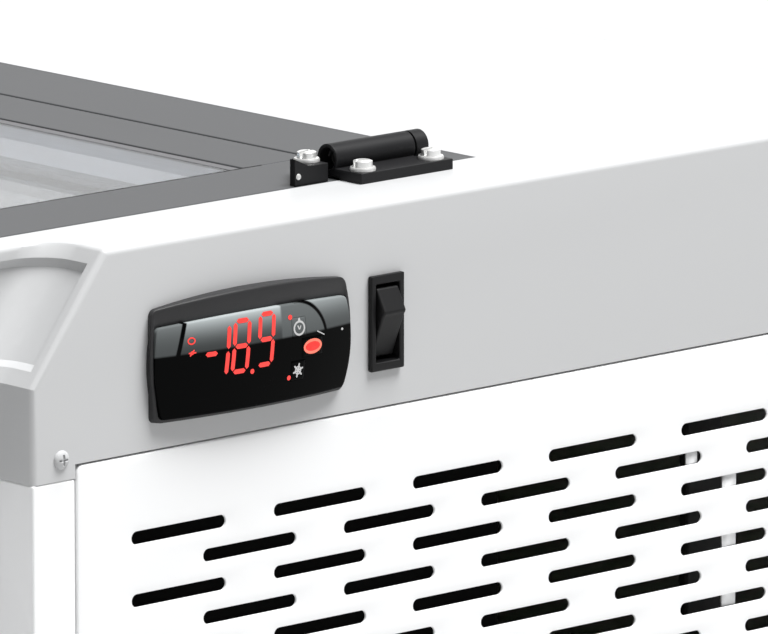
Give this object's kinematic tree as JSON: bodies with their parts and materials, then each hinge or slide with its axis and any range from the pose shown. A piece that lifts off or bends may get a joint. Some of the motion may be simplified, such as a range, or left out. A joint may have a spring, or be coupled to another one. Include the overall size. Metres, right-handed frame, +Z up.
{
  "type": "ice cream freezer",
  "caption": "Compact chest freezer with a hinged glass lid, grey top collar, side control panel, slotted service panel, machine bay and swivel castors.",
  "frame": {"origin": "on the floor under the middle of the whole box", "axes": "+Z up, +X along the control face from the tank's end to the machine bay, -Y out of the control face, +Y towards the lid's handle"},
  "size_m": [0.78, 0.618, 0.89],
  "materials": {
    "painted_steel": "gloss white powder coat",
    "collar_plastic": "grey-white moulded plastic, satin",
    "ring_plastic": "dark grey moulding",
    "pane_glass": "clear toughened glass",
    "spacer_aluminium": "satin anodised",
    "rail_plastic": "grey extruded plastic",
    "seal_rubber": "soft seal",
    "handle_plastic": "fine grained black",
    "hinge_black": "black powder coat",
    "screw_steel": "zinc plated",
    "black_plastic": "gloss black",
    "bezel_plastic": "dark grey moulding",
    "liner_metal": "stucco embossed sheet",
    "foam": "rigid foam",
    "sheet_zinc": "galvanised sheet",
    "copper_tube": "drawn copper",
    "pot_enamel": "black enamel",
    "condenser_fins": "dull fins",
    "motor_case": "painted can",
    "fan_plastic": "black",
    "tyre_grey": "hard grey tread"
  },
  "bodies": {
    "cabinet": {"base_pan": "painted_steel", "left_panel": "painted_steel", "rear_panel": "painted_steel", "right_panel": "painted_steel", "front_panel": "painted_steel", "corner_posts": "painted_steel", "vent_panel": "painted_steel", "top_collar": "collar_plastic", "service_deck": "collar_plastic", "breaker_ring": "ring_plastic", "end_bands": "ring_plastic", "compressor_grommets": "seal_rubber", "hinge_bases": "hinge_black", "hinge_springs": "screw_steel", "hinge_bolts": "screw_steel", "body_screws": "screw_steel", "controller_lens": "black_plastic", "controller_bezel": "bezel_plastic", "controller_case": "bezel_plastic", "switch_bezel": "bezel_plastic", "relay_box": "bezel_plastic", "tank_liner": "liner_metal", "insulation": "foam", "air_baffle": "sheet_zinc", "inner_upright": "sheet_zinc", "castor_plates": "sheet_zinc", "fan_shroud": "sheet_zinc", "evaporator_coil": "copper_tube", "discharge_pipe": "copper_tube", "filter_drier": "copper_tube", "compressor": "pot_enamel", "condenser_coil": "condenser_fins", "fan_motor": "motor_case"},
    "lid": {"lid_rail_near": "rail_plastic", "lid_rail_far": "rail_plastic", "lid_rail_left": "rail_plastic", "lid_rail_right": "rail_plastic", "lid_pane_upper": "pane_glass", "lid_pane_lower": "pane_glass", "lid_spacer": "spacer_aluminium", "lid_gasket": "seal_rubber", "lid_handle": "handle_plastic", "hinge_brackets": "hinge_black", "hinge_pins": "screw_steel", "bracket_bolts": "screw_steel"},
    "rocker": {"switch_rocker": "black_plastic"},
    "set_key": {"key_set": "black_plastic"},
    "down_key": {"key_down": "black_plastic"},
    "up_key": {"key_up": "black_plastic"},
    "fan": {"fan_blades": "fan_plastic"},
    "fork_near_left": {"castor_fork_near_left": "sheet_zinc"},
    "wheel_near_left": {"castor_wheel_near_left": "tyre_grey"},
    "fork_near_right": {"castor_fork_near_right": "sheet_zinc"},
    "wheel_near_right": {"castor_wheel_near_right": "tyre_grey"},
    "fork_far_left": {"castor_fork_far_left": "sheet_zinc"},
    "wheel_far_left": {"castor_wheel_far_left": "tyre_grey"},
    "fork_far_right": {"castor_fork_far_right": "sheet_zinc"},
    "wheel_far_right": {"castor_wheel_far_right": "tyre_grey"}
  },
  "joints": [
    {"name": "lid_hinge", "type": "hinge", "parent": "cabinet", "child": "lid", "pos_m": [-0.0915, -0.2585, 0.8663], "axis": [1, 0, 0], "range_deg": [0, 85]},
    {"name": "rocker_tilt", "type": "hinge", "parent": "cabinet", "child": "rocker", "pos_m": [0.119, -0.2975, 0.8214], "axis": [-1, 0, 0], "range_deg": [0, 16]},
    {"name": "set_key_press", "type": "slide", "parent": "cabinet", "child": "set_key", "axis": [0, 1, 0], "range_m": [0, 0.0008], "stiffness_N_per_m": 300},
    {"name": "down_key_press", "type": "slide", "parent": "cabinet", "child": "down_key", "axis": [0, 1, 0], "range_m": [0, 0.0008], "stiffness_N_per_m": 300},
    {"name": "up_key_press", "type": "slide", "parent": "cabinet", "child": "up_key", "axis": [0, 1, 0], "range_m": [0, 0.0008], "stiffness_N_per_m": 300},
    {"name": "fan_spin", "type": "hinge", "parent": "cabinet", "child": "fan", "pos_m": [0.275, -0.19, 0.189], "axis": [0, 1, 0], "continuous": true},
    {"name": "swivel_near_left", "type": "hinge", "parent": "cabinet", "child": "fork_near_left", "pos_m": [-0.328, -0.214, 0.088], "axis": [0, 0, 1], "continuous": true},
    {"name": "roll_near_left", "type": "hinge", "parent": "fork_near_left", "child": "wheel_near_left", "pos_m": [-0.328, -0.194, 0.03], "axis": [1, 0, 0], "continuous": true},
    {"name": "swivel_near_right", "type": "hinge", "parent": "cabinet", "child": "fork_near_right", "pos_m": [0.328, -0.214, 0.088], "axis": [0, 0, 1], "continuous": true},
    {"name": "roll_near_right", "type": "hinge", "parent": "fork_near_right", "child": "wheel_near_right", "pos_m": [0.328, -0.194, 0.03], "axis": [1, 0, 0], "continuous": true},
    {"name": "swivel_far_left", "type": "hinge", "parent": "cabinet", "child": "fork_far_left", "pos_m": [-0.328, 0.247, 0.088], "axis": [0, 0, 1], "continuous": true},
    {"name": "roll_far_left", "type": "hinge", "parent": "fork_far_left", "child": "wheel_far_left", "pos_m": [-0.328, 0.227, 0.03], "axis": [1, 0, 0], "continuous": true},
    {"name": "swivel_far_right", "type": "hinge", "parent": "cabinet", "child": "fork_far_right", "pos_m": [0.328, 0.247, 0.088], "axis": [0, 0, 1], "continuous": true},
    {"name": "roll_far_right", "type": "hinge", "parent": "fork_far_right", "child": "wheel_far_right", "pos_m": [0.328, 0.227, 0.03], "axis": [1, 0, 0], "continuous": true}
  ]
}
